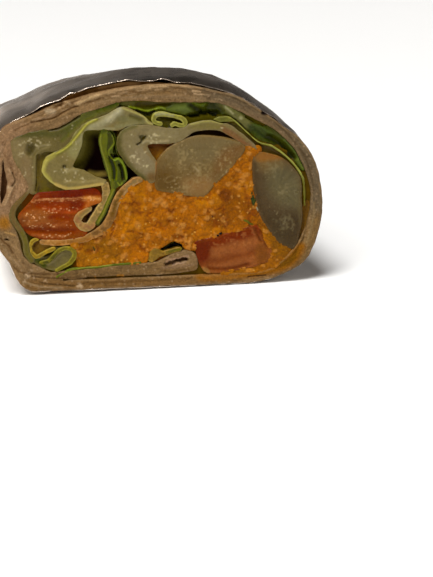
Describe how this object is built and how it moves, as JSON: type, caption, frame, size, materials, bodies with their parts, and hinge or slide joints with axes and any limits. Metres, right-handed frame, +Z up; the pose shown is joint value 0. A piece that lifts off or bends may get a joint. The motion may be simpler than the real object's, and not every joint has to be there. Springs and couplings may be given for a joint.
{
  "type": "lentil patty wrap half",
  "caption": "Half of a flatbread wrap in foil, cut across to show lettuce, tomato, cucumber and an orange lentil patty, lying on its flat side.",
  "frame": {"origin": "under the middle of the whole half, on the surface that it lies on", "axes": "+Z up, +Y from the cut face back to the closed end, so the cut face looks along -Y; +X to the right as the cut face is seen"},
  "size_m": [0.0992, 0.104, 0.0608],
  "materials": {
    "foil": "crinkled household foil",
    "flatbread": "soft browned flatbread, dry outside and moist at the cut",
    "tomato": "wet tomato flesh",
    "cucumber": "wet translucent cucumber",
    "patty": "moist crumbly lentil mash",
    "lettuce_pale": "wet translucent lettuce rib",
    "lettuce_green": "wet green lettuce leaf"
  },
  "bodies": {
    "root": {"foil": "foil", "flatbread": "flatbread", "tomato_left": "tomato", "tomato_right": "tomato", "cucumber_middle": "cucumber", "cucumber_right": "cucumber", "lentil_patty": "patty", "leaf_left_rib": "lettuce_pale", "leaf_folded": "lettuce_pale", "leaf_centre_rib": "lettuce_pale", "leaf_hook": "lettuce_pale", "leaf_under_strip": "lettuce_pale", "leaf_corner_hook": "lettuce_pale", "leaf_by_flap": "lettuce_pale", "leaf_top_curl": "lettuce_pale", "leaf_pleated": "lettuce_green", "leaf_top_shade": "lettuce_green", "leaf_right_edge": "lettuce_green", "leaf_corner_loop": "lettuce_green"}
  },
  "joints": []
}
